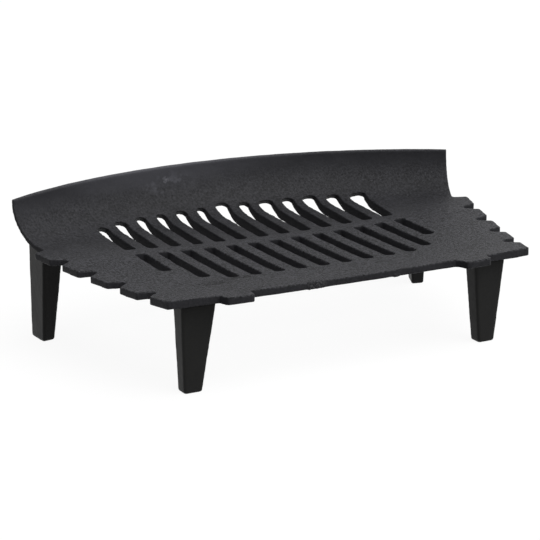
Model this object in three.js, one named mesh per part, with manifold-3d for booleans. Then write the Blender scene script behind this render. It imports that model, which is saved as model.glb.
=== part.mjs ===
// Log grate: a dished cast-iron deck with two rows of slots, saw-toothed sides and a bowed
// front wall that curves up out of it, standing on four separately cast tapered legs.
// Millimetres, +Z up. The bowed wall is the front (+Y), the narrow back edge is at -Y.
// Every plan place below is measured from the middle of the deck; the last lines move the
// whole grate so that its origin is the middle of its own outline, on the hearth.
import * as THREE from 'three';
import { mergeVertices } from 'three/addons/utils/BufferGeometryUtils.js';
import Module from 'manifold-3d';

const wasm = await Module();
wasm.setup();

// ---- driving dimensions: deck
const deckTop = 83.7;          // height of the deck's lowest part
const deckThickness = 5.8;     // round the rim
const fieldThickening = 1.8;   // the ribs between the slots are this much deeper
const cornerThickening = 1.7;  // the iron is this much thicker at dishHalfWidth by the back edge
const sideRise = 4.9;          // dish: how far the deck rises at dishHalfWidth from the middle
const dishHalfWidth = 180;
const riseGrowth = 0.39;       // share by which that rise grows over dishLength to the front
const dishMiddle = -30;        // where the rise is sideRise exactly
const dishLength = 80;
const backLift = 2.6;          // the deck also lifts by this, dishLength behind dishMiddle,
const frontLift = 1.5;         // and by this, dishLength ahead of it

// ---- driving dimensions: outline
const backHalfWidth = 180.4;   // half the width across the back corners
const backEdge = -110.5;
const sideFlare = 0.2866;      // how far the side moves out for each millimetre to the front
const tabEdge = -122.3;        // back edge of the two tabs
const tabOuter = 131;
const tabWidth = 25;
const tabFlank = 2.8;          // the tab's root is wider than its edge by this, each side
const recessEdge = -107.5;     // back edge between the tabs
const toothCount = 5;
const toothPitch = 36.9;       // measured along Y
const toothLength = 21.5;
const notchDepth = 16;
const notchSlant = 4.8;        // the notch's inner end lies this far behind its front side
const notchRadius = 3.2;
const cornerRadius = 2.2;
const tabRadius = 3;

// ---- driving dimensions: wall
const wallTop = 136.4;
const wallFront = 165;         // inner face at the middle of the top edge
const wallBow = 440;           // plan radius of that inner face
const wallThickness = 5;
const wallEndThinning = 3.4;   // most of it within the last 40 mm of the wall's ends
const wallEdgeRadius = 2;
const wallEndFoot = [1, 3.7];  // the wall's end stands this far in and behind the last notch
const wallEndRun = 35;         // from there it goes this far forward...
const wallEndSplay = 14.9;     // ...while it goes this far outward

// ---- driving dimensions: slots
const slotPairs = 6;           // slots each side of the middle one
const slotPitch = 22.7;
const slotWidth = 11.2;
const slotCorner = 3;
const slotBackCorner = 5.2;    // the back row's back ends are rounder
const ribBack = 40.5;          // the rib between the two rows
const ribFront = 54.5;
const backRowEnd = -57;        // back ends of the full slots of the back row
const backRowSteps = [10.5, 40];  // the last slots before the sides end this far further forward
const frontRowShift = -2;      // the front row was set this far aside in the pattern
const slotTopHeight = 96.3;    // height of the front row's upper ends on the wall
const slotTilt = 0.8;          // those ends lean with the wall: forward per millimetre down
// the pattern's upper ends are uneven, from left to right: more width, further aside, higher
const tips = [
  [0.8, -1, 0], [2.4, -1.5, 0.7], [0.2, 0, 0.7], [-0.6, 0, 0], [0.8, 0.2, 0], [-0.8, 0, 0],
  [3.3, 1.3, 1.5], [0.8, 1.6, 0], [4.8, 1.4, 0], [1.6, 1.7, 0.3], [3.9, 1.2, 1], [2.6, 1.3, 0.8],
  [6, 3, 1.5],
];

// ---- driving dimensions: legs and their seats
const seatGap = 0.3;           // clearance round a spigot and under its pad
const padThickness = 0.5;      // least thickness of a seat pad under the iron above it
const spigotHeight = 4.7;
const spigotInset = 4.2;       // from the leg's sides to its spigot
const spigotRoot = 1.5;        // the spigot's solid starts this far inside the leg
const legEdgeRadius = 2;
const footRounding = 2.2;
const backLeg = { outerInset: 18, topWidth: 32.2, topDepth: 17, footWidth: 17.3, footDepth: 13.5,
  footInset: 4.5, topBack: 11.5, footShift: 6 };
const frontLeg = { outerInset: 9, topWidth: 22, footWidth: 13, length: 33, footLength: 26.6,
  frontWidth: 6.5, footFrontWidth: 4.3, skew: 3, proud: 7, footLean: 1.4 };
const bracketTop = 119;        // the front legs' seats run up the wall to this height
const bracketBite = 0.8;       // and are sunk this deep into its outside

// ---- facets
const stationStep = 12.5;      // between the lofted sections across the deck
const deckSteps = 9;
const coveSteps = 9;
const cornerSteps = 3;
const tipSteps = 4;

const iron = (hex) => new THREE.MeshStandardMaterial({ color: hex, roughness: 0.72, metalness: 0.55 });

// ---- the surfaces
const sideAt = (y) => backHalfWidth + sideFlare * (y - backEdge);
const widest = sideAt(backEdge + toothCount * toothPitch) + wallEndSplay;
const arcCentre = wallFront - wallBow;
const across = (x) => (x / dishHalfWidth) ** 2;
const along = (y) => (y - dishMiddle) / dishLength;
const deckHeight = (x, y) => deckTop + sideRise * across(x) * (1 + riseGrowth * along(y))
  + (along(y) < 0 ? backLift : frontLift) * along(y) ** 2;
const deckDrop = (x, y) => deckThickness
  + fieldThickening * Math.max(0, 1 - across(x) ** 4) * Math.max(0, 1 - Math.min(0, along(y)) ** 4)
  + cornerThickening * across(x) * Math.max(0, -along(y));
const onArc = (x, radius) => arcCentre + Math.sqrt(radius ** 2 - x ** 2);
const coveCentre = wallTop - wallEdgeRadius;
// the cove leaves the deck at the deck's own slope and ends upright under the wall's top edge
const cove = (x) => {
  const slopeStep = 1;
  let [radius, start] = [coveCentre - deckTop, 0];
  for (let pass = 0; pass < 20; pass += 1) {
    const foot = wallBow - radius * (1 - Math.sin(start));
    const height = deckHeight(x, onArc(x, foot));
    start = Math.atan((height - deckHeight(x, onArc(x, foot - slopeStep))) / slopeStep);
    radius = (coveCentre - height) / Math.cos(start);
  }
  return { radius, start, foot: onArc(x, wallBow - radius * (1 - Math.sin(start))) };
};
const wallDepth = (x) => wallThickness - wallEndThinning * (x / widest) ** 8;
// plan place of the wall at height z, so deep in the iron
const onWall = (x, z, depth) => {
  const { radius } = cove(x);
  return onArc(x, wallBow - radius + Math.sqrt((radius + depth) ** 2 - (coveCentre - z) ** 2));
};
// height of the iron's lower face anywhere under the deck and the cove
const lowerFace = (x, y) => {
  const { radius, foot } = cove(x);
  if (y <= foot) return deckHeight(x, y) - deckDrop(x, y);
  const out = Math.hypot(x, y - arcCentre) - (wallBow - radius);
  return coveCentre - Math.sqrt(Math.max(0, (radius + deckDrop(x, y)) ** 2 - out ** 2));
};

// ---- mesh helpers
const toSolid = (geometry, together = 1e-4) => {
  const bare = geometry.index ? geometry.toNonIndexed() : geometry.clone();
  bare.deleteAttribute('normal');
  bare.deleteAttribute('uv');
  const merged = mergeVertices(bare, together);
  return new wasm.Manifold(new wasm.Mesh({ numProp: 3,
    vertProperties: new Float32Array(merged.attributes.position.array),
    triVerts: new Uint32Array(merged.index.array) }));
};

const toGeometry = (solid) => {
  const mesh = solid.getMesh();
  const geometry = new THREE.BufferGeometry();
  geometry.setAttribute('position', new THREE.BufferAttribute(mesh.vertProperties, 3));
  geometry.setIndex(new THREE.BufferAttribute(mesh.triVerts, 1));
  geometry.computeVertexNormals();
  return geometry;
};

// a closed skin over rings of equally many points, each ring flat in Z or flat in X
const signedVolume = (points, index) => {
  let volume = 0;
  for (let i = 0; i < index.length; i += 3) {
    const [a, b, c] = [points[index[i]], points[index[i + 1]], points[index[i + 2]]];
    volume += a.dot(b.clone().cross(c)) / 6;
  }
  return volume;
};
const skin = (rings) => {
  const count = rings[0].length;
  const last = rings.length - 1;
  const index = [];
  for (let r = 0; r < last; r += 1) {
    for (let i = 0; i < count; i += 1) {
      const next = (i + 1) % count;
      const [a, b] = [r * count + i, r * count + next];
      index.push(a, b, b + count, a, b + count, a + count);
    }
  }
  const level = rings[0].every((p) => Math.abs(p.z - rings[0][0].z) < 1e-9);
  for (const [ring, start, turned] of [[rings[0], 0, true], [rings[last], last * count, false]]) {
    const contour = ring.map((p) => (level ? new THREE.Vector2(p.x, p.y) : new THREE.Vector2(p.y, p.z)));
    const faces = THREE.ShapeUtils.triangulateShape(contour, []);
    const forward = THREE.ShapeUtils.area(faces[0].map((i) => contour[i])) > 0;
    const swap = (forward === THREE.ShapeUtils.area(contour) > 0) === turned;
    for (const [a, b, c] of faces) {
      index.push(start + a, start + (swap ? c : b), start + (swap ? b : c));
    }
  }
  const points = rings.flat();
  if (signedVolume(points, index) < 0) index.reverse();
  const geometry = new THREE.BufferGeometry();
  geometry.setAttribute('position', new THREE.Float32BufferAttribute(
    points.flatMap((p) => [p.x, p.y, p.z]), 3));
  geometry.setIndex(index);
  return geometry;
};

// corners [x, y, radius] of a plan outline, each replaced by its arc
const rounded = (corners, steps = cornerSteps) => corners.flatMap(([x, y, radius], i) => {
  const at = new THREE.Vector2(x, y);
  const before = corners[(i + corners.length - 1) % corners.length];
  const after = corners[(i + 1) % corners.length];
  const back = new THREE.Vector2(before[0], before[1]).sub(at);
  const ahead = new THREE.Vector2(after[0], after[1]).sub(at);
  if (!radius) return [at];
  const half = Math.abs(back.angleTo(ahead)) / 2;
  const reach = Math.min(radius / Math.tan(half), 0.49 * Math.min(back.length(), ahead.length()));
  const start = at.clone().addScaledVector(back.normalize(), reach);
  const end = at.clone().addScaledVector(ahead.normalize(), reach);
  return new THREE.QuadraticBezierCurve(start, at, end).getPoints(steps);
});

const prism = (points, bottom, top) => {
  const shape = new THREE.Shape(points);
  const geometry = new THREE.ExtrudeGeometry(shape, { depth: top - bottom, bevelEnabled: false });
  return geometry.translate(0, 0, bottom);
};

const mirrored = (corners) => corners.map(([x, y, radius]) => [-x, y, radius]).reverse();

// ---- the deck and wall as one lofted plate, still without outline, slots or seats
const section = (x) => {
  const { radius, start, foot } = cove(x);
  const upper = [];
  const lower = [];
  for (let i = 0; i < deckSteps; i += 1) {
    const y = THREE.MathUtils.lerp(tabEdge - 10, foot, i / deckSteps);
    upper.push([y, deckHeight(x, y)]);
    lower.push([y, deckHeight(x, y) - deckDrop(x, y)]);
  }
  for (let i = 0; i <= coveSteps; i += 1) {
    const turn = THREE.MathUtils.lerp(start, Math.PI / 2, i / coveSteps);
    const thick = THREE.MathUtils.lerp(deckDrop(x, foot), wallDepth(x), Math.min(1, 3 * i / coveSteps));
    const at = (reach) => [onArc(x, wallBow - radius + reach * Math.sin(turn)),
      coveCentre - reach * Math.cos(turn)];
    upper.push(at(radius));
    lower.push(at(radius + thick));
  }
  const edge = Math.min(wallEdgeRadius, 0.45 * wallDepth(x));
  for (const [turn, middle] of [[1 / 3, 0], [2 / 3, 0], [1, 0], [1, 1], [4 / 3, 1], [5 / 3, 1]]) {
    const outward = edge + middle * (wallDepth(x) - 2 * edge) - edge * Math.cos(turn * Math.PI / 2);
    upper.push([onArc(x, wallBow + outward),
      coveCentre + wallEdgeRadius * Math.sin(turn * Math.PI / 2)]);
  }
  return [...upper, ...lower.reverse()].map(([y, z]) => new THREE.Vector3(x, y, z));
};

const stations = 2 * Math.ceil(widest / stationStep);
const sections = [];
for (let i = 0; i <= stations; i += 1) sections.push(section(widest * (2 * i / stations - 1)));
const plate = toSolid(skin(sections));

// ---- the plan outline: back edge with its tabs, saw-toothed sides, ends of the wall
const notchY = (k) => backEdge + k * toothPitch;
const notchEnd = (k) => [sideAt(notchY(k)) - notchDepth, notchY(k) - notchSlant];
const [wallEndX, wallEndY] = notchEnd(toothCount).map((v, i) => v - wallEndFoot[i]);
const beyond = 3;              // the outline runs this many wall-end lengths past the wall
const rightSide = [
  [tabOuter - tabWidth - tabFlank, recessEdge, tabRadius],
  [tabOuter - tabWidth, tabEdge, tabRadius],
  [tabOuter, tabEdge, tabRadius],
  [tabOuter + tabFlank, backEdge, cornerRadius],
];
for (let k = 0; k < toothCount; k += 1) {
  const toothEnd = notchY(k) + toothLength;
  rightSide.push([sideAt(notchY(k)), notchY(k), cornerRadius]);
  rightSide.push([sideAt(toothEnd), toothEnd, cornerRadius]);
  if (k < toothCount - 1) {
    rightSide.push([...notchEnd(k + 1), notchRadius]);
    rightSide.push([notchEnd(k + 1)[0] + notchRadius, notchY(k + 1), notchRadius]);
  }
}
rightSide.push([wallEndX, wallEndY, notchRadius]);
rightSide.push([wallEndX + beyond * wallEndSplay, wallEndY + beyond * wallEndRun, 0]);
const outline = rounded([...rightSide, ...mirrored(rightSide)]);

// ---- the slots
const rowHalf = slotWidth / 2;
const backSlot = (n) => {
  const x = n * slotPitch;
  const step = Math.abs(n) - (slotPairs - backRowSteps.length) - 1;
  const end = backRowEnd + (step >= 0 ? backRowSteps[step] : 0);
  return prism(rounded([[x - rowHalf, end, slotBackCorner], [x + rowHalf, end, slotBackCorner],
    [x + rowHalf, ribBack, slotCorner], [x - rowHalf, ribBack, slotCorner]]), 0, 2 * wallTop);
};
const frontSlot = (n) => {
  const x = n * slotPitch + frontRowShift;
  const [spare, aside, rise] = tips[n + slotPairs];
  const [middle, half, top] = [x + aside, rowHalf + spare / 2, slotTopHeight + rise];
  const tipStart = onWall(middle, top, 0) - rowHalf;
  const arc = [];
  for (let i = 0; i <= 2 * tipSteps; i += 1) {
    const turn = (i / (2 * tipSteps)) * Math.PI;
    arc.push(new THREE.Vector2(middle + half * Math.cos(turn), tipStart + rowHalf * Math.sin(turn)));
  }
  const heel = rounded([[x - rowHalf, ribFront, slotCorner], [x + rowHalf, ribFront, slotCorner],
    [middle + half, tipStart, 0], [middle - half, tipStart, 0]]).slice(0, -2);
  const geometry = prism([...heel, ...arc], deckTop - 2 * deckThickness, wallTop);
  const place = geometry.attributes.position;
  for (let i = 0; i < place.count; i += 1) {
    if (place.getY(i) > tipStart - 1e-6) {
      place.setY(i, place.getY(i) + slotTilt * (top - place.getZ(i)));
    }
  }
  return geometry;
};

// ---- legs: rings of a tapered post, and its spigot
const ring = (corners, z) => rounded(corners.map(([x, y]) => [x, y, legEdgeRadius]))
  .map((p) => new THREE.Vector3(p.x, p.y, z));
const shrunk = (corners, inset) => {
  const middle = corners.reduce(([mx, my], [x, y]) => [mx + x / corners.length,
    my + y / corners.length], [0, 0]);
  return corners.map(([x, y]) => {
    const away = new THREE.Vector2(x - middle[0], y - middle[1]);
    const shorter = away.clone().setLength(Math.max(away.length() - inset, 1));
    return [middle[0] + shorter.x, middle[1] + shorter.y];
  });
};

// plan corners of the right-hand legs, counterclockwise, at the foot and at the seat
const backLegOuter = backHalfWidth - backLeg.outerInset;
const backLegBack = backEdge + backLeg.topBack;
const backFootOuter = backLegOuter - backLeg.footInset;
const backFootBack = backLegBack + backLeg.footShift;
const box = (x0, x1, y0, y1) => [[x0, y0], [x1, y0], [x1, y1], [x0, y1]];
const backTopCorners = box(backLegOuter - backLeg.topWidth, backLegOuter,
  backLegBack, backLegBack + backLeg.topDepth);
const backFootCorners = box(backFootOuter - backLeg.footWidth, backFootOuter,
  backFootBack, backFootBack + backLeg.footDepth);
const frontLegOuter = wallEndX - frontLeg.outerInset;
const frontLegFront = onArc(frontLegOuter, wallBow + wallThickness) + frontLeg.proud;
const wedge = (outer, width, front, length, frontWidth) => [
  [outer - width, front - length + frontLeg.skew],
  [outer, front - length],
  [outer + frontLeg.footLean, front],
  [outer + frontLeg.footLean - frontWidth, front - frontLeg.skew / 2],
];
const frontTopCorners = wedge(frontLegOuter, frontLeg.topWidth, frontLegFront, frontLeg.length,
  frontLeg.frontWidth);
const frontFootCorners = wedge(frontLegOuter, frontLeg.footWidth, frontLegFront,
  frontLeg.footLength, frontLeg.footFrontWidth);

// the seat plane lies under the lowest iron above the leg's top
const seatUnder = (corners) => Math.min(...corners.map(([x, y]) => lowerFace(x, y)))
  - padThickness;
const backSeat = seatUnder(backTopCorners);
const frontSeat = seatUnder(frontTopCorners.slice(0, 2));

const post = (foot, top, seat) => skin([ring(shrunk(foot, footRounding), 0),
  ring(foot, footRounding), ring(top, seat - seatGap)]);
const spigot = (top, seat, clearance) => skin([
  ring(shrunk(top, spigotInset - clearance), seat - spigotRoot),
  ring(shrunk(top, spigotInset - clearance), seat - seatGap + spigotHeight + clearance)]);
const socket = (top, seat) => spigot(top, seat, seatGap);
const legSolid = (foot, top, seat) => toSolid(post(foot, top, seat))
  .add(toSolid(spigot(top, seat, 0)));

// seats: a pad under the deck at the back, a bracket up the outside of the wall at the front
const backPad = skin([ring(backTopCorners, backSeat),
  ring(backTopCorners, backSeat + padThickness + deckThickness / 2)]);
const bracketCorners = frontTopCorners.map(([x, y], i) => {
  const sunk = onWall(x, bracketTop, wallDepth(x) - bracketBite);
  return i < 2 ? [x, sunk] : [x, Math.max(y - frontLeg.proud - wallThickness / 4, sunk + 1)];
});
const frontBracket = skin([ring(frontTopCorners, frontSeat), ring(bracketCorners, bracketTop)]);

const flipped = (geometry) => {
  const copy = geometry.clone().scale(-1, 1, 1);
  const turned = copy.index ? copy.toNonIndexed() : copy;
  const place = turned.attributes.position;
  for (let i = 0; i < place.count; i += 3) {
    const [x, y, z] = [place.getX(i), place.getY(i), place.getZ(i)];
    place.setXYZ(i, place.getX(i + 1), place.getY(i + 1), place.getZ(i + 1));
    place.setXYZ(i + 1, x, y, z);
  }
  return turned;
};
const bothSides = (geometry) => [toSolid(geometry), toSolid(flipped(geometry))];

// ---- the casting: outline, pads and brackets, then slots and sockets
let casting = plate.intersect(toSolid(prism(outline, 0, 2 * wallTop)));
for (const seat of [backPad, frontBracket]) {
  for (const solid of bothSides(seat)) casting = casting.add(solid);
}
for (let n = -slotPairs; n <= slotPairs; n += 1) {
  casting = casting.subtract(toSolid(backSlot(n))).subtract(toSolid(frontSlot(n)));
}
for (const hole of [socket(backTopCorners, backSeat), socket(frontTopCorners, frontSeat)]) {
  for (const solid of bothSides(hole)) casting = casting.subtract(solid);
}

// a cut that grazes a facet can leave a crumb or a sliver: corners that all but touch are made
// one, and crumbs go. Anything larger stays, so that a casting in two parts is still found out
const shortest = 0.01;
const allButTouching = 1e-3;
const crumbVolume = 5;
casting = toSolid(toGeometry(casting.simplify(shortest)), allButTouching);
casting = wasm.Manifold.compose(
  casting.decompose().filter((body) => Math.abs(body.volume()) > crumbVolume));

// ---- the assembly
const grate = new THREE.Group();
const addPiece = (name, geometry, hex) => {
  const mesh = new THREE.Mesh(geometry, iron(hex));
  mesh.name = name;
  grate.add(mesh);
};
addPiece('deck_and_wall_casting', toGeometry(casting), 0x3f3f43);
for (const [name, foot, top, seat] of [
  ['back_leg', backFootCorners, backTopCorners, backSeat],
  ['front_leg', frontFootCorners, frontTopCorners, frontSeat]]) {
  const right = toGeometry(legSolid(foot, top, seat));
  addPiece(`${name}_right`, right, 0x2c2c2d);
  addPiece(`${name}_left`, flipped(right), 0x2c2c2d);
}

// the origin is the middle of the outline's depth, from the tabs to the front of the wall
const frontMost = Math.max(wallFront + wallThickness, frontLegFront);
grate.position.y = -(frontMost + tabEdge) / 2;
grate.updateMatrixWorld(true);

export default grate;
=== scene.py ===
"""Sand-cast iron log grate: dished slotted deck, saw-toothed sides, bowed wall, tapered legs."""

import math

import bmesh
import bpy
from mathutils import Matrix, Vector, noise


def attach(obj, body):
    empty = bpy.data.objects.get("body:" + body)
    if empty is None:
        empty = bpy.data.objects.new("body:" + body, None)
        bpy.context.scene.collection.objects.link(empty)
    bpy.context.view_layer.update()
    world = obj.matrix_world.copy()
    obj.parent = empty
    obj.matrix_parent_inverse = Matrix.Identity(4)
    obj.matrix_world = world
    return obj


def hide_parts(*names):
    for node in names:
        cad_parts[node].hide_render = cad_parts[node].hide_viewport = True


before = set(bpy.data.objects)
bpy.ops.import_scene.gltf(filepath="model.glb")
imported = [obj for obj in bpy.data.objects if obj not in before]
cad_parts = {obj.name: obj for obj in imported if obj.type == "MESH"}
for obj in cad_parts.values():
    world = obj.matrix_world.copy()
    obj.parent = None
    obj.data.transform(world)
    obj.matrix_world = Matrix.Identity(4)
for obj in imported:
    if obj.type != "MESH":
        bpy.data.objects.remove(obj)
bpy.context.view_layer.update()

# ---- sizes in millimetres, measured from the middle of the deck
DECK_TOP = 83.7
DECK_DEPTH = 5.8
RIB_DEEPENING = 1.8
CORNER_DEEPENING = 1.7
DISH_RISE = 4.9
DISH_HALF_WIDTH = 180
RISE_GROWTH = 0.39
DISH_MIDDLE = -30
DISH_LENGTH = 80
BACK_LIFT = 2.6
FRONT_LIFT = 1.5

BACK_HALF_WIDTH = 180.4
BACK_EDGE = -110.5
SIDE_FLARE = 0.2866
TAB_EDGE = -122.3
TAB_OUTER = 131
TAB_WIDTH = 25
TAB_FLANK = 2.8
RECESS_EDGE = -107.5
TEETH = 5
TOOTH_PITCH = 36.9
TOOTH_LENGTH = 21.5
NOTCH_DEPTH = 16
NOTCH_SLANT = 4.8
NOTCH_RADIUS = 3.2
CORNER_RADIUS = 2.2
TAB_RADIUS = 3

WALL_TOP = 136.4
WALL_FRONT = 165
WALL_BOW = 440
WALL_DEPTH = 5
WALL_END_THINNING = 3.4
WALL_EDGE_RADIUS = 2
WALL_END_FOOT = (1, 3.7)
WALL_END_RUN = 35
WALL_END_SPLAY = 14.9

SLOT_PAIRS = 6
SLOT_PITCH = 22.7
SLOT_WIDTH = 11.2
SLOT_CORNER = 3
SLOT_BACK_CORNER = 5.2
RIB_BACK = 40.5
RIB_FRONT = 54.5
BACK_ROW_END = -57
BACK_ROW_STEPS = (10.5, 40)
FRONT_ROW_SHIFT = -2
SLOT_TOP_HEIGHT = 96.3
SLOT_TILT = 0.8
# the front row's upper ends, from left to right: more width, further aside, higher
TIPS = (
    (0.8, -1, 0), (2.4, -1.5, 0.7), (0.2, 0, 0.7), (-0.6, 0, 0), (0.8, 0.2, 0),
    (-0.8, 0, 0), (3.3, 1.3, 1.5), (0.8, 1.6, 0), (4.8, 1.4, 0), (1.6, 1.7, 0.3),
    (3.9, 1.2, 1), (2.6, 1.3, 0.8), (6, 3, 1.5),
)

SEAT_GAP = 0.3
PAD_DEPTH = 0.5
SPIGOT_HEIGHT = 4.7
SPIGOT_INSET = 4.2
SPIGOT_ROOT = 1.5
LEG_EDGE_RADIUS = 2
FOOT_ROUNDING = 2.2
BRACKET_TOP = 119
BRACKET_BITE = 0.8
BACK_LEG_INSET = 18  # from the deck's side at its back edge
BACK_LEG_BACK = 11.5  # from the deck's back edge
BACK_LEG_WIDTH, BACK_FOOT_WIDTH = 32.2, 17.3
BACK_LEG_DEPTH, BACK_FOOT_DEPTH = 17, 13.5
BACK_FOOT_INSET = 4.5
BACK_FOOT_SHIFT = 6
FRONT_LEG_INSET = 9  # from the foot of the wall's end
FRONT_LEG_PROUD = 7  # in front of the wall
FRONT_LEG_WIDTH, FRONT_FOOT_WIDTH = 22, 13
FRONT_LEG_LENGTH, FRONT_FOOT_LENGTH = 33, 26.6
FRONT_LEG_TIP, FRONT_FOOT_TIP = 6.5, 4.3
FRONT_LEG_SKEW = 3
FRONT_LEG_LEAN = 1.4
FRONT_LEG_CROWN = 1.5
ORIGIN_SHIFT = -23.85  # from the middle of the deck to the middle of the whole outline

# stubs where two gates were knocked off the back edge: middle in the frame, reach, height
GATE_STUBS = (
    (-43, -131.4, 85, 8, 0.9),
    (-35, -131.4, 84, 6, 0.9),
    (41, -131.4, 80, 4.5, 0.9),
)
STUB_GRAIN = 1.6

MM = 0.001

# ---- how finely and how softly the iron is drawn, in millimetres
CAST_VOXEL = 0.85  # as fine as the edges of a sand casting are sharp
LEG_VOXEL = 0.9
CAST_TRIANGLES = 190_000  # at most
LEG_TRIANGLES = 30_000
SOFTENING = 0.5  # a slot is drawn narrower by this, and its softened rims open it again
DRAFT = 0.05  # a slot widens upwards by this share on either side, to let the pattern out
RIM_SPARE = 1.6  # the iron between the slots is drawn deeper by this, for the softened rims
SPARE_HALF_WIDTH = 160  # the deeper iron ends here at the sides,
SPARE_SIDE_FADE = 15  # over this width,
SPARE_END_FADE = 12  # and at the back over this length,
SPARE_LEAD = 1.5  # so many such lengths before the slots begin
SWELLS = ((0.16, 14), (0.07, 4))  # height and spacing of the unevenness of the mould
OUTWARD = 0.05  # makes up for what the softening takes off
OVERHANG = 10  # the plate is drawn past its back edge by this, and then cut
END_RUNS = 3  # the cut along the wall's end is this many times as long as its run
EDGE_SHARE = 0.45  # of the wall's thickness, at most, in each rounding of its rim
CORNER_SHARE = 0.49  # of a side, at most, in the rounding of one corner
LEAST_REACH = 1  # from the middle of a plan to its corners, however much it shrinks
BRACKET_TIP = 1  # least length of a bracket's upper end
STATION_STEP = 4  # between the sections of the plate, at most
DECK_STEPS = 36
COVE_STEPS = 30
DEPTH_STEPS = 12  # of the cove's steps, in which the deck's depth becomes the wall's
RIM_STEPS = 12
TIP_STEPS = 16
FOOT_TURNS = (0, 30, 60, 90)  # degrees round the edge of a foot
SETTLING_ROUNDS = 20  # after which the foot of the cove no longer moves


# ---- the surfaces of the deck and its wall
def side_at(y):
    return BACK_HALF_WIDTH + SIDE_FLARE * (y - BACK_EDGE)


def notch_y(k):
    return BACK_EDGE + k * TOOTH_PITCH


WIDEST = side_at(notch_y(TEETH)) + WALL_END_SPLAY


def across(x):
    return (x / DISH_HALF_WIDTH) ** 2


def along(y):
    return (y - DISH_MIDDLE) / DISH_LENGTH


def deck_height(x, y):
    lift = BACK_LIFT if along(y) < 0 else FRONT_LIFT
    return DECK_TOP + DISH_RISE * across(x) * (1 + RISE_GROWTH * along(y)) + lift * along(y) ** 2


def iron_depth(x, y):
    behind = min(0, along(y))
    ribs = max(0, 1 - across(x) ** 4) * max(0, 1 - behind**4)
    return DECK_DEPTH + RIB_DEEPENING * ribs - CORNER_DEEPENING * across(x) * behind


def wall_depth(x):
    return WALL_DEPTH - WALL_END_THINNING * (x / WIDEST) ** 8


ARC_CENTRE = WALL_FRONT - WALL_BOW
COVE_CENTRE = WALL_TOP - WALL_EDGE_RADIUS


def on_arc(x, radius):
    return ARC_CENTRE + math.sqrt(radius**2 - x**2)


def cove(x):
    """Radius, starting slope and foot of the curve that leads from the deck up into the wall."""
    radius, start = COVE_CENTRE - DECK_TOP, 0
    for _ in range(SETTLING_ROUNDS):
        foot = WALL_BOW - radius * (1 - math.sin(start))
        height = deck_height(x, on_arc(x, foot))
        start = math.atan(height - deck_height(x, on_arc(x, foot - 1)))
        radius = (COVE_CENTRE - height) / math.cos(start)
    return radius, start, on_arc(x, WALL_BOW - radius * (1 - math.sin(start)))


def rib_depth(x, y):
    """Depth of the drawn iron: more than the true one between the slots only."""
    inward = (SPARE_HALF_WIDTH - abs(x)) / SPARE_SIDE_FADE
    forward = (y - BACK_ROW_END) / SPARE_END_FADE + SPARE_LEAD
    between = min(1, max(0, inward)) * min(1, max(0, forward))
    return iron_depth(x, y) + RIM_SPARE * between


def on_wall(x, z, depth):
    """Plan place of the wall at a height, so deep in the iron."""
    radius = cove(x)[0]
    return on_arc(x, WALL_BOW - radius + math.sqrt((radius + depth) ** 2 - (COVE_CENTRE - z) ** 2))


def lower_face(x, y):
    radius, _, foot = cove(x)
    if y <= foot:
        return deck_height(x, y) - iron_depth(x, y)
    out = math.hypot(x, y - ARC_CENTRE) - (WALL_BOW - radius)
    return COVE_CENTRE - math.sqrt(max(0, (radius + iron_depth(x, y)) ** 2 - out**2))


def mix(a, b, share):
    return a + (b - a) * share


# ---- mesh helpers
def solid(name, points, faces):
    """A closed mesh from points in millimetres, with its faces turned outwards."""
    mesh = bpy.data.meshes.new(name)
    mesh.from_pydata([(x * MM, (y + ORIGIN_SHIFT) * MM, z * MM) for x, y, z in points], [], faces)
    shape = bmesh.new()
    shape.from_mesh(mesh)
    bmesh.ops.recalc_face_normals(shape, faces=shape.faces)
    shape.to_mesh(mesh)
    shape.free()
    piece = bpy.data.objects.new(name, mesh)
    bpy.context.scene.collection.objects.link(piece)
    return piece


def skin(name, rings):
    """Walls over rings of equally many points, closed at the first and the last ring."""
    count = len(rings[0])
    last = (len(rings) - 1) * count
    faces = [tuple(range(count)), tuple(range(last + count - 1, last - 1, -1))]
    for r in range(len(rings) - 1):
        for i in range(count):
            a, b = r * count + i, r * count + (i + 1) % count
            faces.append((a, b, b + count, a + count))
    return solid(name, [p for ring in rings for p in ring], faces)


def rounded(corners, steps=6):
    """Plan corners (x, y, radius), each replaced by its arc."""
    points = []
    for i, (x, y, radius) in enumerate(corners):
        at = Vector((x, y))
        back = Vector(corners[i - 1][:2]) - at
        ahead = Vector(corners[(i + 1) % len(corners)][:2]) - at
        if not radius:
            points.append((x, y))
            continue
        room = CORNER_SHARE * min(back.length, ahead.length)
        reach = min(radius / math.tan(back.angle(ahead) / 2), room)
        start, end = at + back.normalized() * reach, at + ahead.normalized() * reach
        for k in range(steps + 1):
            t = k / steps
            p = start * (1 - t) ** 2 + at * 2 * t * (1 - t) + end * t**2
            points.append((p.x, p.y))
    return points


def prism(name, plan, bottom, top):
    return skin(name, [[(x, y, bottom) for x, y in plan], [(x, y, top) for x, y in plan]])


def mirrored(corners):
    return [(-x, y, radius) for x, y, radius in reversed(corners)]


def cut(piece, tool, how):
    """Cuts or joins a closed tool with a closed piece; the tool is used up."""
    step = piece.modifiers.new("cut", "BOOLEAN")
    step.operation, step.object, step.solver = how, tool, "MANIFOLD"
    keep_shape(piece)
    bpy.data.objects.remove(tool)


def keep_shape(piece):
    """Makes the modifiers' result the piece's own mesh."""
    graph = bpy.context.evaluated_depsgraph_get()
    made = bpy.data.meshes.new_from_object(piece.evaluated_get(graph))
    piece.modifiers.clear()
    old, piece.data = piece.data, made
    bpy.data.meshes.remove(old)


def together(name, parts):
    """One object from several solids that don't touch."""
    shape = bmesh.new()
    for part in parts:
        shape.from_mesh(part.data)
        bpy.data.objects.remove(part)
    mesh = bpy.data.meshes.new(name)
    shape.to_mesh(mesh)
    shape.free()
    piece = bpy.data.objects.new(name, mesh)
    bpy.context.scene.collection.objects.link(piece)
    return piece


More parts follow.
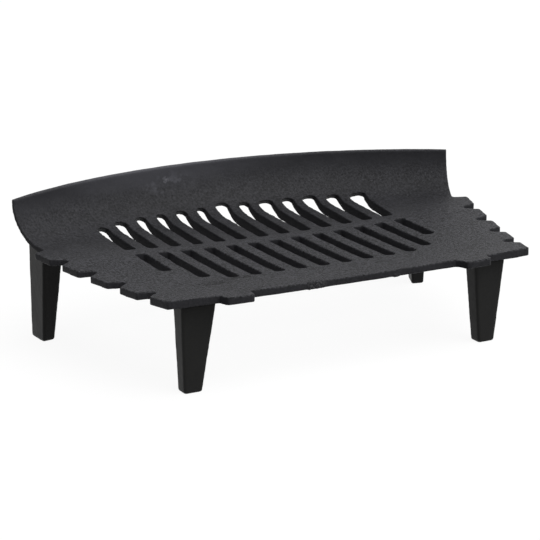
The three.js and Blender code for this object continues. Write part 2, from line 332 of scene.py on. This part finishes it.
# ---- the casting: the plate, its outline, its slots and its seats
def plate_section(x):
    """Section of the drawn plate: its upper face to the wall's rim, then its lower face back."""
    radius, start, foot = cove(x)
    upper, lower = [], []
    for i in range(DECK_STEPS):
        y = mix(TAB_EDGE - OVERHANG, foot, i / DECK_STEPS)
        upper.append((x, y, deck_height(x, y)))
        lower.append((x, y, deck_height(x, y) - rib_depth(x, y)))
    for i in range(COVE_STEPS + 1):
        turn = mix(start, math.pi / 2, i / COVE_STEPS)
        depth = mix(rib_depth(x, foot), wall_depth(x), min(1, i / DEPTH_STEPS))
        for side, reach in ((upper, radius), (lower, radius + depth)):
            out = on_arc(x, WALL_BOW - radius + reach * math.sin(turn))
            side.append((x, out, COVE_CENTRE - reach * math.cos(turn)))
    edge = min(WALL_EDGE_RADIUS, EDGE_SHARE * wall_depth(x))
    for i in range(1, RIM_STEPS):
        turn = i * math.pi / RIM_STEPS
        out = edge * (1 - math.cos(turn))
        if i > RIM_STEPS / 2:
            out += wall_depth(x) - 2 * edge
        high = COVE_CENTRE + WALL_EDGE_RADIUS * math.sin(turn)
        upper.append((x, on_arc(x, WALL_BOW + out), high))
    return upper + lower[::-1]


def notch_end(k):
    return side_at(notch_y(k)) - NOTCH_DEPTH, notch_y(k) - NOTCH_SLANT


WALL_END = tuple(v - w for v, w in zip(notch_end(TEETH), WALL_END_FOOT))


def outline():
    """Plan that the plate is cut to; in front it runs past the wall, which ends by itself."""
    right = [
        (TAB_OUTER - TAB_WIDTH - TAB_FLANK, RECESS_EDGE, TAB_RADIUS),
        (TAB_OUTER - TAB_WIDTH, TAB_EDGE, TAB_RADIUS),
        (TAB_OUTER, TAB_EDGE, TAB_RADIUS),
        (TAB_OUTER + TAB_FLANK, BACK_EDGE, CORNER_RADIUS),
    ]
    for k in range(TEETH):
        tooth_end = notch_y(k) + TOOTH_LENGTH
        right.append((side_at(notch_y(k)), notch_y(k), CORNER_RADIUS))
        right.append((side_at(tooth_end), tooth_end, CORNER_RADIUS))
        if k < TEETH - 1:
            x, y = notch_end(k + 1)
            right.append((x, y, NOTCH_RADIUS))
            right.append((x + NOTCH_RADIUS, notch_y(k + 1), NOTCH_RADIUS))
    right.append((*WALL_END, NOTCH_RADIUS))
    far_x = WALL_END[0] + END_RUNS * WALL_END_SPLAY
    far_y = WALL_END[1] + END_RUNS * WALL_END_RUN
    right.append((far_x, far_y, 0))
    return rounded(right + mirrored(right))


SLOT_LEVELS = (DECK_TOP - 2 * DECK_DEPTH, WALL_TOP)  # from below the iron to above the slots


def back_slot(n):
    x, half = n * SLOT_PITCH, (SLOT_WIDTH - SOFTENING) / 2
    step = abs(n) - (SLOT_PAIRS - len(BACK_ROW_STEPS)) - 1
    end = BACK_ROW_END + (BACK_ROW_STEPS[step] if step >= 0 else 0)
    rings = []
    for z in SLOT_LEVELS:
        wide = half + DRAFT * (z - DECK_TOP)
        plan = [(x + side * wide, end, SLOT_BACK_CORNER) for side in (-1, 1)]
        plan += [(x + side * wide, RIB_BACK, SLOT_CORNER) for side in (1, -1)]
        rings.append([(px, py, z) for px, py in rounded(plan)])
    return skin("back_slot", rings)


def front_slot(n):
    x, half = n * SLOT_PITCH + FRONT_ROW_SHIFT, (SLOT_WIDTH - SOFTENING) / 2
    spare, aside, rise = TIPS[n + SLOT_PAIRS]
    middle, wide, top = x + aside, half + spare / 2, SLOT_TOP_HEIGHT + rise
    tip = on_wall(middle, top, 0) - half
    heel = [(x - half, RIB_FRONT, SLOT_CORNER), (x + half, RIB_FRONT, SLOT_CORNER)]
    heel = rounded(heel + [(middle + wide, tip, 0), (middle - wide, tip, 0)])[:-2]
    arc = []
    for i in range(TIP_STEPS + 1):
        turn = i * math.pi / TIP_STEPS
        arc.append((middle + wide * math.cos(turn), tip + half * math.sin(turn)))
    rings = []
    for z in SLOT_LEVELS:
        lean = SLOT_TILT * (top - z)
        rings.append([(px, py, z) for px, py in heel] + [(px, py + lean, z) for px, py in arc])
    return skin("front_slot", rings)


# ---- the legs: plan corners at the foot and at the seat, counterclockwise on the right-hand side
def box_corners(x0, x1, y0, y1):
    return [(x0, y0), (x1, y0), (x1, y1), (x0, y1)]


def wedge_corners(outer, width, front, length, tip):
    return [
        (outer - width, front - length + FRONT_LEG_SKEW),
        (outer, front - length),
        (outer + FRONT_LEG_LEAN, front),
        (outer + FRONT_LEG_LEAN - tip, front - FRONT_LEG_CROWN),
    ]


OUTER = BACK_HALF_WIDTH - BACK_LEG_INSET
BACK = BACK_EDGE + BACK_LEG_BACK
BACK_LEG_TOP = box_corners(OUTER - BACK_LEG_WIDTH, OUTER, BACK, BACK + BACK_LEG_DEPTH)
OUTER -= BACK_FOOT_INSET
BACK += BACK_FOOT_SHIFT
BACK_LEG_FOOT = box_corners(OUTER - BACK_FOOT_WIDTH, OUTER, BACK, BACK + BACK_FOOT_DEPTH)
OUTER = WALL_END[0] - FRONT_LEG_INSET
FRONT = on_arc(OUTER, WALL_BOW + WALL_DEPTH) + FRONT_LEG_PROUD
FRONT_LEG_TOP = wedge_corners(OUTER, FRONT_LEG_WIDTH, FRONT, FRONT_LEG_LENGTH, FRONT_LEG_TIP)
FRONT_LEG_FOOT = wedge_corners(OUTER, FRONT_FOOT_WIDTH, FRONT, FRONT_FOOT_LENGTH, FRONT_FOOT_TIP)
BACK_SEAT = min(lower_face(x, y) for x, y in BACK_LEG_TOP) - PAD_DEPTH
FRONT_SEAT = min(lower_face(x, y) for x, y in FRONT_LEG_TOP[:2]) - PAD_DEPTH


def ring(corners, z, side):
    plan = rounded([(x, y, LEG_EDGE_RADIUS) for x, y in corners])
    return [(side * x, y, z) for x, y in plan]


def shrunk(corners, inset):
    middle = sum((Vector(c) for c in corners), Vector((0, 0))) / len(corners)
    result = []
    for corner in corners:
        away = Vector(corner) - middle
        p = middle + away.normalized() * max(away.length - inset, LEAST_REACH)
        result.append((p.x, p.y))
    return result


def post(name, foot, top, seat, side):
    rings = []
    for turn in FOOT_TURNS:
        lift = FOOT_ROUNDING * (1 - math.cos(math.radians(turn)))
        inset = FOOT_ROUNDING * (1 - math.sin(math.radians(turn)))
        rings.append(ring(shrunk(foot, inset), lift, side))
    rings.append(ring(top, seat - SEAT_GAP, side))
    return skin(name, rings)


def spigot(top, seat, clearance, side):
    plan = shrunk(top, SPIGOT_INSET - clearance)
    high = seat - SEAT_GAP + SPIGOT_HEIGHT + clearance
    return skin("spigot", [ring(plan, seat - SPIGOT_ROOT, side), ring(plan, high, side)])


def back_pad(side):
    levels = (BACK_SEAT, BACK_SEAT + PAD_DEPTH + DECK_DEPTH / 2)
    return skin("back_pad", [ring(BACK_LEG_TOP, z, side) for z in levels])


def front_bracket(side):
    """Runs from the seat up the outside of the wall; its first two corners lie in the wall."""
    upper = []
    for i, (x, y) in enumerate(FRONT_LEG_TOP):
        sunk = on_wall(x, BRACKET_TOP, wall_depth(x) - BRACKET_BITE)
        outer = max(y - FRONT_LEG_PROUD - WALL_DEPTH / 4, sunk + BRACKET_TIP)
        upper.append((x, sunk if i < 2 else outer))
    rings = [ring(FRONT_LEG_TOP, FRONT_SEAT, side), ring(upper, BRACKET_TOP, side)]
    return skin("front_bracket", rings)


def sand_cast(piece, voxel, most, rough=()):
    """Fine mesh with the slightly soft edges and the unevenness of a sand mould."""
    grid = piece.modifiers.new("grid", "REMESH")
    grid.mode, grid.voxel_size, grid.use_smooth_shade = "VOXEL", voxel * MM, True
    soften = piece.modifiers.new("soften", "SMOOTH")
    soften.factor, soften.iterations = 0.5, 1
    keep_shape(piece)
    mesh = piece.data
    for vertex, normal in zip(mesh.vertices, mesh.vertex_normals):
        p, out = vertex.co, normal.vector
        swell = 0
        for high, apart in SWELLS:
            swell += high * noise.noise(p / (apart * MM))
        for x, y, z, reach, height in rough:
            nearness = 1 - (p / MM - Vector((x, y, z))).length / reach
            if nearness > 0:
                broken = 0.5 + noise.noise(p / (STUB_GRAIN * MM))
                swell += min(1, 2 * nearness) * height * broken
        vertex.co = p + out * ((swell + OUTWARD) * MM)
        vertex.co.z = max(0, vertex.co.z)
    triangles = 2 * len(mesh.polygons)
    if triangles > most:
        fewer = piece.modifiers.new("fewer", "DECIMATE")
        fewer.ratio = most / triangles
        keep_shape(piece)
    piece.data.shade_smooth()
    return piece


def make_casting():
    count = 2 * math.ceil(WIDEST / STATION_STEP)
    stations = [WIDEST * (2 * i / count - 1) for i in range(count + 1)]
    plate = skin("iron_deck_and_wall", [plate_section(x) for x in stations])
    cut(plate, prism("outline", outline(), 0, 2 * WALL_TOP), "INTERSECT")
    for side in (1, -1):
        cut(plate, back_pad(side), "UNION")
        cut(plate, front_bracket(side), "UNION")
    numbers = range(-SLOT_PAIRS, SLOT_PAIRS + 1)
    cut(plate, together("back_row", [back_slot(n) for n in numbers]), "DIFFERENCE")
    cut(plate, together("front_row", [front_slot(n) for n in numbers]), "DIFFERENCE")
    for side in (1, -1):
        cut(plate, spigot(BACK_LEG_TOP, BACK_SEAT, SEAT_GAP, side), "DIFFERENCE")
        cut(plate, spigot(FRONT_LEG_TOP, FRONT_SEAT, SEAT_GAP, side), "DIFFERENCE")
    return sand_cast(plate, CAST_VOXEL, CAST_TRIANGLES, GATE_STUBS)


def make_leg(name, foot, top, seat, side):
    leg = post(name, foot, top, seat, side)
    cut(leg, spigot(top, seat, 0, side), "UNION")
    return sand_cast(leg, LEG_VOXEL, LEG_TRIANGLES)


# ---- materials: lengths in metres, tones from the dark colour (0) to the light one (1)
MIDDLE = 0.5  # of a noise or a tone
SAND_CLUSTER = 0.0022  # single grains show at an eighth of it
PRINT_HEIGHT = 0.0003
PRINT_IN_COVE = 0.3
PRINT_ON_UPRIGHT = 0.12
CLOUD = 0.03
CLOUD_TONE = 0.5
# painted shade in the cove
COVE_PAINTED_SHADE = 0.25
# painted light towards the top of the wall
WALL_PAINTED_LIGHT = 0.35
# painted shade on upright faces below the wall
RIM_PAINTED_SHADE = 0.15
SLOT_TONE = 0.08
ROUGHNESS, SLOT_ROUGHNESS = 0.5, 0.82
SHEEN = 0.12
# where a change begins and where it is complete
UPRIGHT = (0.55, 0.15)  # height of the facing
SIDEWAYS = (0.45, 0.8)  # sideways part of the facing
PRINT_FADES = (-0.01, 0.03)  # from the back to the wall
# painted shade in the cove
COVE_SHADE_SPAN = (0.0, 0.05)
# painted light up the wall
WALL_LIGHT_SPAN = (0.105, 0.132)  # height
# painted shade on low upright faces
RIM_SHADE_SPAN = (0.1, 0.096)
SLOT_FADE = 0.005  # half of the width over which the slotted field ends
PATCH_CORE = 0.3  # share of a patch that is covered in full
MOTTLES = (0.48, 0.58)


def linear(colour):
    """Linear red, green, blue, alpha of an sRGB hex colour."""
    parts = [int(colour[i : i + 2], 16) / 255 for i in (1, 3, 5)]
    return [c / 12.92 if c <= 0.04045 else ((c + 0.055) / 1.055) ** 2.4 for c in parts] + [1]


def add(tree, kind, settings=(), **inputs):
    """Adds a node; settings are its own, inputs are values or (node, output) links."""
    node = tree.nodes.new(kind)
    for key, value in dict(settings).items():
        setattr(node, key, value)
    for key, value in inputs.items():
        place = node.inputs[int(key[1:])] if key[0] == "_" else node.inputs[key.replace("_", " ")]
        if isinstance(value, tuple) and isinstance(value[0], bpy.types.Node):
            tree.links.new(value[0].outputs[value[1]], place)
        else:
            place.default_value = value
    return node


def sand_cast_iron(name, dark, light, grain, slot_reach=0.0, patches=()):
    """Grey iron as it leaves a sand mould, blackened: dull, with the print of the sand grains.

    The grain is the strength of the print. The slots reach that far to either side, if any.
    """
    material = bpy.data.materials.new(name)
    material.use_nodes = True
    tree = material.node_tree
    tree.nodes.clear()
    here = add(tree, "ShaderNodeTexCoord"), "Object"
    facing = add(tree, "ShaderNodeNewGeometry"), "Normal"

    def reckon(operation, a, b=0.0, c=0.0):
        return add(tree, "ShaderNodeMath", {"operation": operation}, _0=a, _1=b, _2=c), 0

    def ramp(value, low, high, start=0.0, end=1.0):
        """Goes from start to end between low and high, and is level outside them."""
        return add(tree, "ShaderNodeMapRange", _0=value, _1=low, _2=high, _3=start, _4=end), 0

    def speckle(size, detail):
        settings = {"Scale": 1 / size, "Detail": detail, "Roughness": 0.7}
        return add(tree, "ShaderNodeTexNoise", Vector=here, **settings), 0

    def about_middle(noisy):
        return reckon("SUBTRACT", noisy, MIDDLE)

    def vector(operation, a, b=(0.0, 0.0, 0.0)):
        return add(tree, "ShaderNodeVectorMath", {"operation": operation}, _0=a, _1=b)

    def mixed(share, a, b):
        return add(tree, "ShaderNodeMix", {"data_type": "RGBA"}, _0=share, _6=a, _7=b), 2

    spot = add(tree, "ShaderNodeSeparateXYZ", Vector=here)
    aside, along_deck, high = (spot, 0), (spot, 1), (spot, 2)
    tilt = add(tree, "ShaderNodeSeparateXYZ", Vector=facing)
    upright = ramp(reckon("ABSOLUTE", (tilt, 2)), *UPRIGHT)

    # print of the moulding sand, weaker in the cove and on upright faces
    sand = speckle(SAND_CLUSTER, 3.0)
    print_depth = reckon("MULTIPLY", ramp(along_deck, *PRINT_FADES, 1.0, PRINT_IN_COVE), grain)
    print_depth = reckon("MULTIPLY", ramp(upright, 0.0, 1.0, 1.0, PRINT_ON_UPRIGHT), print_depth)
    tone = reckon("MULTIPLY_ADD", about_middle(sand), print_depth, MIDDLE)
    # the blackening lies in faint clouds; painted shade darkens the cove and the upright faces low
    # down, and painted light brightens the wall towards its top
    tone = reckon("MULTIPLY_ADD", about_middle(speckle(CLOUD, 4.0)), CLOUD_TONE, tone)
    # painted shade: the cove is drawn darker
    tone = reckon("SUBTRACT", tone, ramp(along_deck, *COVE_SHADE_SPAN, 0.0, COVE_PAINTED_SHADE))
    # painted light: the wall is drawn lighter towards its top
    tone = reckon("ADD", tone, ramp(high, *WALL_LIGHT_SPAN, 0.0, WALL_PAINTED_LIGHT))
    # painted shade: upright faces below the wall, on the rims and in the slots, are drawn darker
    rims = reckon("MULTIPLY", upright, ramp(high, *RIM_SHADE_SPAN, 0.0, RIM_PAINTED_SHADE))
    tone = reckon("SUBTRACT", tone, rims)
    # the walls of the slots are left rougher and a little lighter
    roughness = ROUGHNESS
    if slot_reach:
        sideways = ramp(reckon("ABSOLUTE", (tilt, 0)), *SIDEWAYS)
        field_end = slot_reach + SLOT_FADE, slot_reach - SLOT_FADE
        in_slots = reckon("MULTIPLY", sideways, ramp(reckon("ABSOLUTE", aside), *field_end))
        tone = reckon("MULTIPLY_ADD", in_slots, SLOT_TONE, tone)
        roughness = ramp(in_slots, 0.0, 1.0, ROUGHNESS, SLOT_ROUGHNESS)
    colour = mixed(tone, linear(dark), linear(light))
    # a painted sheen, and pitted, smudged and scratched places
    height = sand
    for middle, size, stain, cover, mottle, depth in patches:
        away = vector("DIVIDE", (vector("SUBTRACT", here, middle), 0), size)
        share = ramp((vector("LENGTH", (away, 0)), 1), 1.0, PATCH_CORE, 0.0, cover)
        if mottle:
            share = reckon("MULTIPLY", share, ramp(speckle(mottle, 2.0), *MOTTLES))
        if depth:
            height = reckon("MULTIPLY_ADD", share, -depth, height)
        colour = mixed(share, colour, linear(stain))

    bump = add(
        tree, "ShaderNodeBump", Strength=print_depth, Distance=PRINT_HEIGHT, Height=height
    )
    shader = add(
        tree,
        "ShaderNodeBsdfPrincipled",
        Base_Color=colour,
        Roughness=roughness,
        Specular_IOR_Level=SHEEN,
        Normal=(bump, 0),
    )
    add(tree, "ShaderNodeOutputMaterial", Surface=(shader, 0))
    return material


# middle and half sizes (m), colour, cover, size of the mottling (m) or 0, depth of the pits
PIT = "#0b0b0c"
PATCHES = (
    # painted sheen along the top of the wall: a lighter patch in place of a highlight
    ((-0.058, 0.137, 0.142), (0.17, 0.06, 0.026), "#5e5e64", 0.55, 0, 0),
    # pits in front of the back edge
    ((-0.118, -0.094, 0.086), (0.024, 0.009, 0.01), PIT, 0.95, 0.003, 0.6),
    ((-0.088, -0.085, 0.085), (0.024, 0.008, 0.01), PIT, 0.95, 0.003, 0.6),
    ((0.045, -0.098, 0.085), (0.012, 0.002, 0.01), PIT, 0.9, 0.003, 0.5),
    # bright specks on the stubs of the left gate
    ((-0.039, -0.1314, 0.083), (0.012, 0.004, 0.005), "#6a6a6c", 0.6, 0.0015, 0.3),
    # smudge and scratch on the wall
    ((-0.05, 0.135, 0.122), (0.035, 0.02, 0.015), "#5c5c62", 0.5, 0.012, 0),
    ((-0.053, 0.137, 0.1235), (0.004, 0.004, 0.004), "#7c7c82", 0.8, 0.002, 0),
)
SLOTTED_HALF_WIDTH = 0.15

# ---- the grate
deck_iron = sand_cast_iron(
    "blackened_sand_cast_iron", "#151517", "#424246", 7.0, SLOTTED_HALF_WIDTH, PATCHES
)
# painted shade: the legs' iron is drawn darker than the deck's, for the shade under the deck
shaded_leg_iron = sand_cast_iron("leg_iron_with_painted_shade", "#1b1b1b", "#2f2f2e", 1.5)

casting = make_casting()
casting.data.materials.clear()
casting.data.materials.append(deck_iron)
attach(casting, "root")
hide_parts("deck_and_wall_casting")

for name, foot, top, seat in (
    ("back_leg", BACK_LEG_FOOT, BACK_LEG_TOP, BACK_SEAT),
    ("front_leg", FRONT_LEG_FOOT, FRONT_LEG_TOP, FRONT_SEAT),
):
    for hand, side in (("right", 1), ("left", -1)):
        leg = make_leg(f"iron_{name}_{hand}", foot, top, seat, side)
        leg.data.materials.clear()
        leg.data.materials.append(shaded_leg_iron)
        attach(leg, "root")
        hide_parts(f"{name}_{hand}")


# ---- floor, light and camera
PAPER_GLOW = 0.93
ROOM_LIGHT = 0.12
EYE, GLOSSY, THROUGH = 0, 3, 6  # kinds of ray


def seen_rays(tree):
    """One for the eye, for reflections and through clear matter, zero for light on the grate."""
    path = add(tree, "ShaderNodeLightPath")
    larger = {"operation": "MAXIMUM"}
    either = add(tree, "ShaderNodeMath", larger, _0=(path, EYE), _1=(path, GLOSSY))
    return add(tree, "ShaderNodeMath", larger, _0=(either, 0), _1=(path, THROUGH)), 0


def white_seen(tree, surface, strength):
    """Adds plain white to a surface for the eye and for reflections, not for light on the grate."""
    amount = add(
        tree, "ShaderNodeMath", {"operation": "MULTIPLY"}, _0=seen_rays(tree), _1=strength
    )
    glow = add(tree, "ShaderNodeEmission", Strength=(amount, 0))
    return add(tree, "ShaderNodeAddShader", _0=(surface, 0), _1=(glow, 0))


floor_paper = bpy.data.materials.new("white_paper_sweep")
floor_paper.use_nodes = True
paper = floor_paper.node_tree
paper.nodes.clear()
matt = add(paper, "ShaderNodeBsdfDiffuse", Color=linear("#595959"))
add(paper, "ShaderNodeOutputMaterial", Surface=(white_seen(paper, matt, PAPER_GLOW), 0))
bpy.ops.mesh.primitive_grid_add(x_subdivisions=4, y_subdivisions=4, size=12)
floor = bpy.context.object
floor.name = "floor"
floor.data.materials.append(floor_paper)

world = bpy.data.worlds.new("studio")
bpy.context.scene.world = world
world.use_nodes = True
sky = world.node_tree
sky.nodes.clear()
room = add(sky, "ShaderNodeBackground", Color=linear("#ffffff"), Strength=ROOM_LIGHT)
backdrop = add(sky, "ShaderNodeBackground", Color=linear("#ffffff"), Strength=1.0)
blend = add(sky, "ShaderNodeMixShader", _0=seen_rays(sky), _1=(room, 0), _2=(backdrop, 0))
add(sky, "ShaderNodeOutputWorld", Surface=(blend, 0))

daylight = bpy.data.lights.new("overhead_diffuser", "SUN")
daylight.energy, daylight.angle = 3.0, math.radians(70)
diffuser = bpy.data.objects.new("overhead_diffuser", daylight)
bpy.context.scene.collection.objects.link(diffuser)
diffuser.rotation_euler = Vector((-0.3, 0.4, -0.87)).to_track_quat("-Z", "Y").to_euler()

camera = bpy.data.objects.new("camera", bpy.data.cameras.new("camera"))
bpy.context.scene.collection.objects.link(camera)
camera.data.sensor_width = 36
camera.data.lens = 121.6
camera.data.clip_start = 0.05
camera.location = (-0.7866, -1.42, 0.5071)
down, turned = 15.414, -28.592  # degrees from level and from straight ahead
camera.rotation_euler = (math.radians(90 - down), 0, math.radians(turned))
bpy.context.scene.camera = camera
bpy.context.scene.view_settings.view_transform = "Standard"
